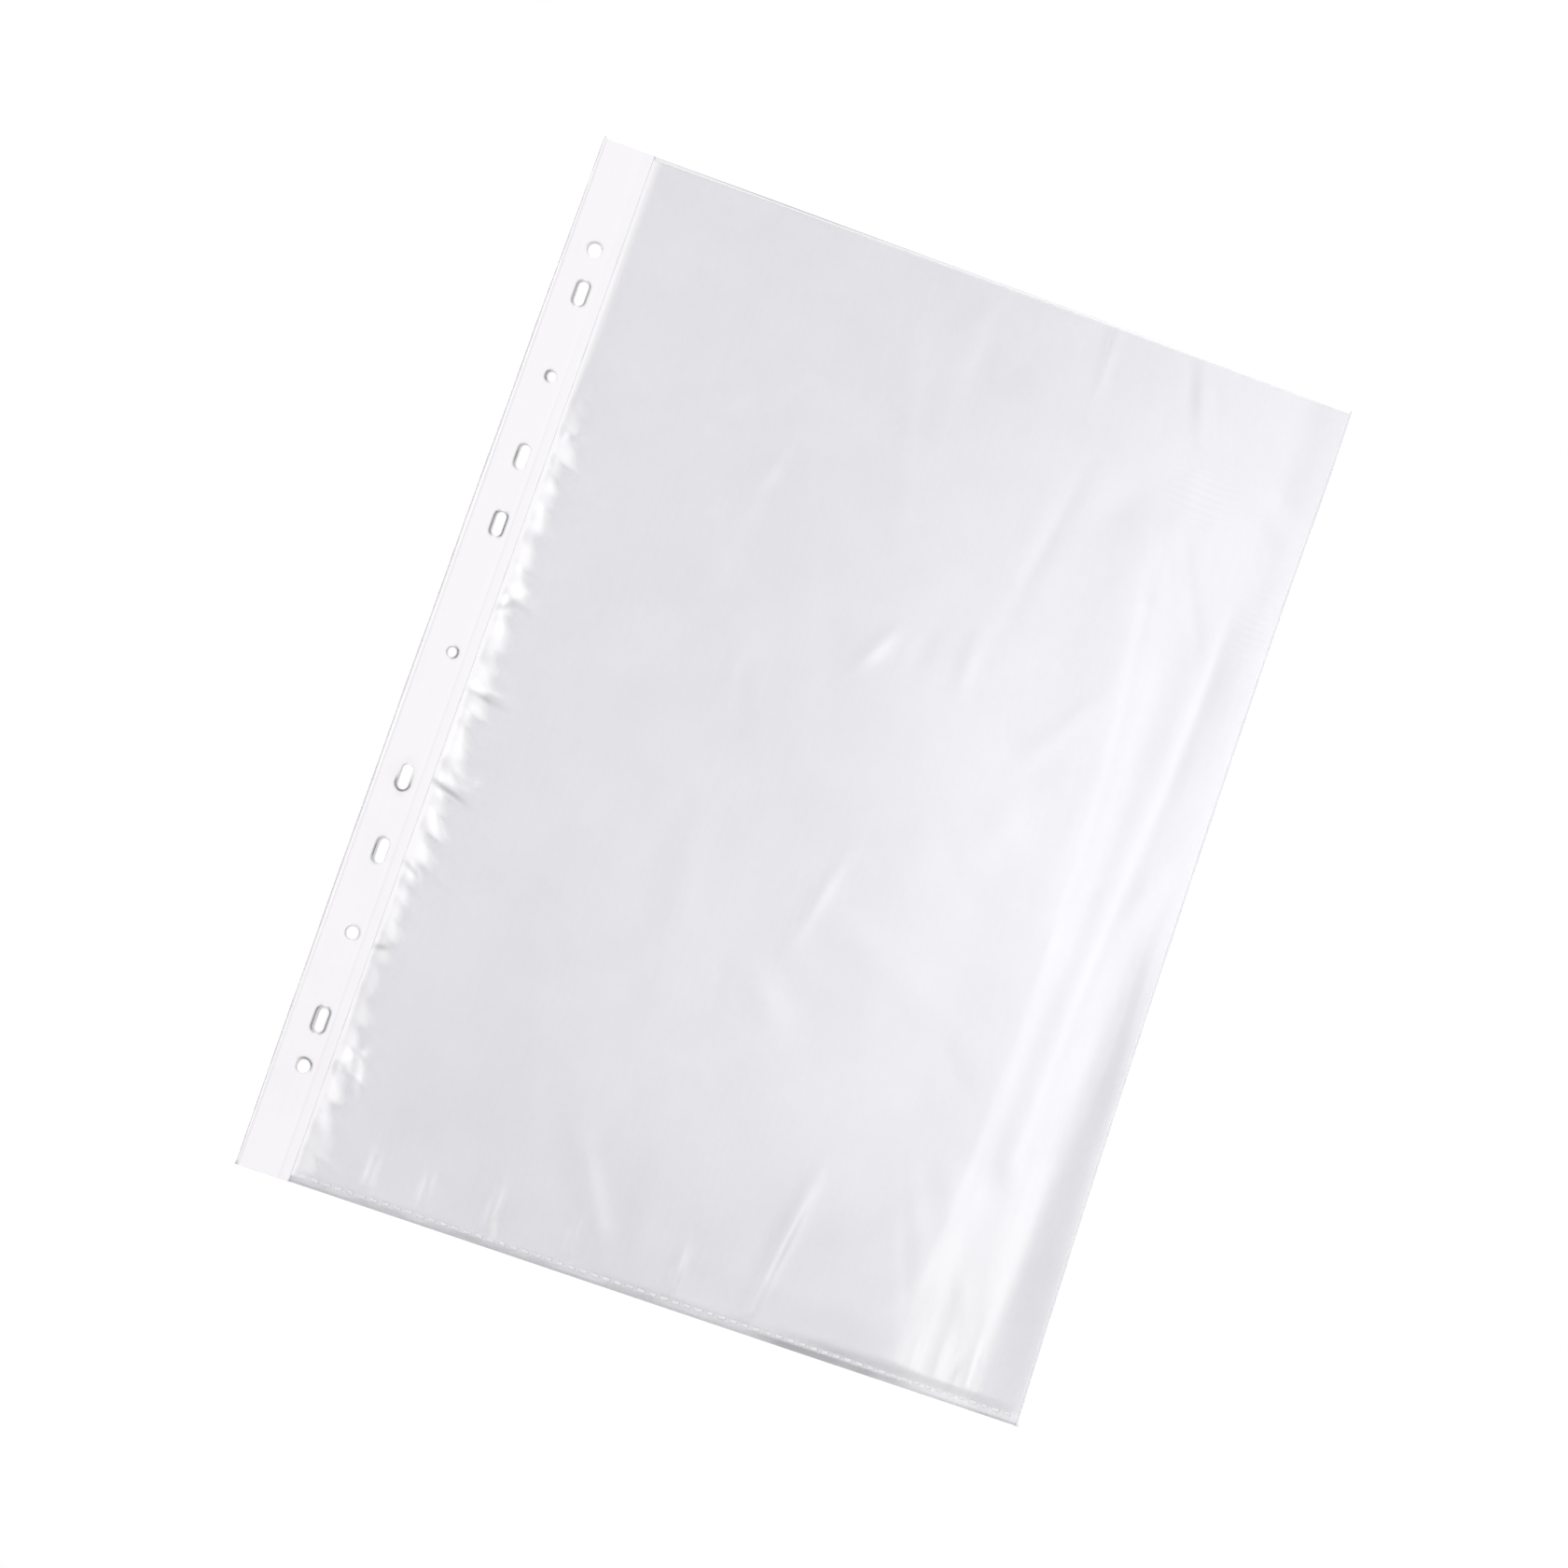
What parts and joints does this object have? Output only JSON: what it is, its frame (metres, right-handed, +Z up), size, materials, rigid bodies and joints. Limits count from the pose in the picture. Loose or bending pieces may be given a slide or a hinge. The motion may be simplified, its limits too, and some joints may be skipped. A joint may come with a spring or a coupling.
{
  "type": "sheet protector",
  "caption": "Clear top-loading film pocket for loose sheets, with a white punched filing strip along its left side and a knurled weld along its bottom.",
  "frame": {"origin": "on the table, under the middle of the pocket as it lies flat on its back film", "axes": "+X across the pocket, away from the filing strip; +Y up the pocket, towards the open mouth; +Z up, out of the front film"},
  "size_m": [0.227, 0.302, 0.0004],
  "materials": {
    "clear_film": "clear polypropylene film, slightly hazy, soft gloss",
    "white_strip": "opaque white polypropylene, satin under its film",
    "weld_bead": "melted film, cloudy"
  },
  "bodies": {
    "binding": {"filing_strip": "white_strip", "front_margin": "clear_film", "back_margin": "clear_film", "edge_weld": "weld_bead", "strip_weld": "weld_bead"},
    "pocket": {"back_film": "clear_film", "side_weld": "weld_bead", "bottom_weld": "weld_bead"},
    "front": {"front_film": "clear_film"}
  },
  "joints": [
    {"name": "page_turn", "type": "hinge", "parent": "binding", "child": "pocket", "pos_m": [-0.09799, 0, 0.00021], "axis": [0, -1, 0], "range_deg": [0, 90]},
    {"name": "mouth_opening", "type": "hinge", "parent": "pocket", "child": "front", "pos_m": [0, -0.151, 0.00031], "axis": [1, 0, 0], "range_deg": [0, 4]}
  ]
}
